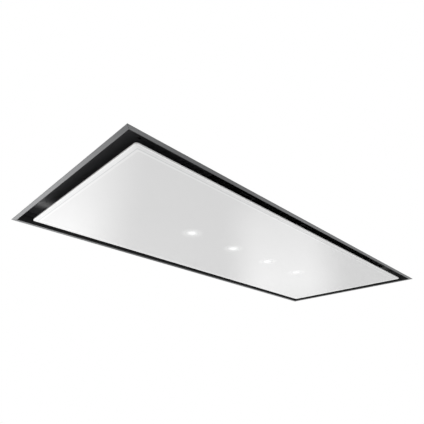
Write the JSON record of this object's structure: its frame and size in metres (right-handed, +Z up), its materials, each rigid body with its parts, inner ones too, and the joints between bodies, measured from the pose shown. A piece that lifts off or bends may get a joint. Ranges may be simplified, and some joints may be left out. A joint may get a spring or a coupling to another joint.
{
  "type": "ceiling range hood",
  "caption": "Flush ceiling hood with rim suction round a hinged, lit glass panel, grease filters behind it, and a blower box with a round duct outlet above.",
  "frame": {"origin": "middle of the ceiling frame, on the ceiling's face, which is the flange's upper face", "axes": "+Z up into the ceiling, +X along the frame towards the control box, +Y towards the hinges and the duct outlet"},
  "size_m": [1.2, 0.5, 0.3008],
  "materials": {
    "stainless_trim": "fine brushed",
    "charcoal_tray": "semi-matt powder coat",
    "galvanised_sheet": "spangled zinc",
    "filter_black": "black anodised",
    "black_plastic": "moulded",
    "grey_plastic": "moulded",
    "white_glass": "back-painted, polished",
    "opal_lens": "opal, lit",
    "cast_aluminium": "die cast",
    "zinc_steel": "zinc plated",
    "ground_steel": "ground",
    "motor_paint": "black paint",
    "circuit_board": "solder mask",
    "white_plastic": "moulded",
    "cable_jacket": "matt",
    "foam_tape": "foam"
  },
  "bodies": {
    "housing": {"trim_frame": "stainless_trim", "recess_tray": "charcoal_tray", "housing_wrap": "galvanised_sheet", "end_panel_left": "galvanised_sheet", "end_panel_right": "galvanised_sheet", "filter_dividers": "charcoal_tray", "motor_box": "galvanised_sheet", "motor_box_lid": "galvanised_sheet", "blower_scroll": "galvanised_sheet", "scroll_side_left": "galvanised_sheet", "scroll_side_right": "galvanised_sheet", "fan_motor": "motor_paint", "motor_bracket": "zinc_steel", "outlet_adapter": "black_plastic", "outlet_collar": "black_plastic", "flap_axle": "ground_steel", "control_box": "grey_plastic", "control_box_lid": "grey_plastic", "control_board": "circuit_board", "led_driver": "white_plastic", "terminal_block": "white_plastic", "cable_gland": "black_plastic", "ceiling_brackets": "zinc_steel", "housing_brackets": "zinc_steel", "bracket_bolts": "zinc_steel", "hinge_brackets": "zinc_steel", "hinge_pins": "ground_steel", "catch_magnets": "black_plastic", "lamp_cable": "cable_jacket", "filter_frame_1": "filter_black", "filter_mesh_1": "filter_black", "filter_handle_1": "black_plastic", "filter_frame_2": "filter_black", "filter_mesh_2": "filter_black", "filter_handle_2": "black_plastic", "filter_frame_3": "filter_black", "filter_mesh_3": "filter_black", "filter_handle_3": "black_plastic"},
    "panel": {"glass_pane": "white_glass", "bonding_strips": "foam_tape", "panel_carrier": "galvanised_sheet", "carrier_ribs": "galvanised_sheet", "lamp_lenses": "opal_lens", "hinge_arms": "zinc_steel", "striker_plates": "zinc_steel", "panel_harness": "cable_jacket", "lamp_body_1": "cast_aluminium", "lamp_body_2": "cast_aluminium", "lamp_body_3": "cast_aluminium", "lamp_body_4": "cast_aluminium"},
    "impeller": {"impeller": "galvanised_sheet", "motor_shaft": "ground_steel"},
    "flap_left": {"flap_left": "grey_plastic"},
    "flap_right": {"flap_right": "grey_plastic"},
    "latch_1": {"filter_latch_1": "grey_plastic"},
    "latch_2": {"filter_latch_2": "grey_plastic"},
    "latch_3": {"filter_latch_3": "grey_plastic"}
  },
  "joints": [
    {"name": "panel_swing", "type": "hinge", "parent": "housing", "child": "panel", "pos_m": [0, 0.208, 0.015], "axis": [1, 0, 0], "range_deg": [0, 90]},
    {"name": "latch_1_slide", "type": "slide", "parent": "housing", "child": "latch_1", "axis": [0, 1, 0], "range_m": [0, 0.006], "stiffness_N_per_m": 300, "springref_m": -0.01},
    {"name": "latch_2_slide", "type": "slide", "parent": "housing", "child": "latch_2", "axis": [0, 1, 0], "range_m": [0, 0.006], "stiffness_N_per_m": 300, "springref_m": -0.01},
    {"name": "latch_3_slide", "type": "slide", "parent": "housing", "child": "latch_3", "axis": [0, 1, 0], "range_m": [0, 0.006], "stiffness_N_per_m": 300, "springref_m": -0.01},
    {"name": "impeller_spin", "type": "hinge", "parent": "housing", "child": "impeller", "pos_m": [0, -0.06, 0.196], "axis": [-1, 0, 0], "continuous": true},
    {"name": "flap_left_swing", "type": "hinge", "parent": "housing", "child": "flap_left", "pos_m": [0, 0.15, 0.205], "axis": [0, 0, -1], "range_deg": [0, 75], "stiffness_Nm_per_rad": 0.004, "springref_deg": -17.19},
    {"name": "flap_right_swing", "type": "hinge", "parent": "housing", "child": "flap_right", "pos_m": [0, 0.15, 0.205], "axis": [0, 0, 1], "range_deg": [0, 75], "stiffness_Nm_per_rad": 0.004, "springref_deg": -17.19}
  ]
}
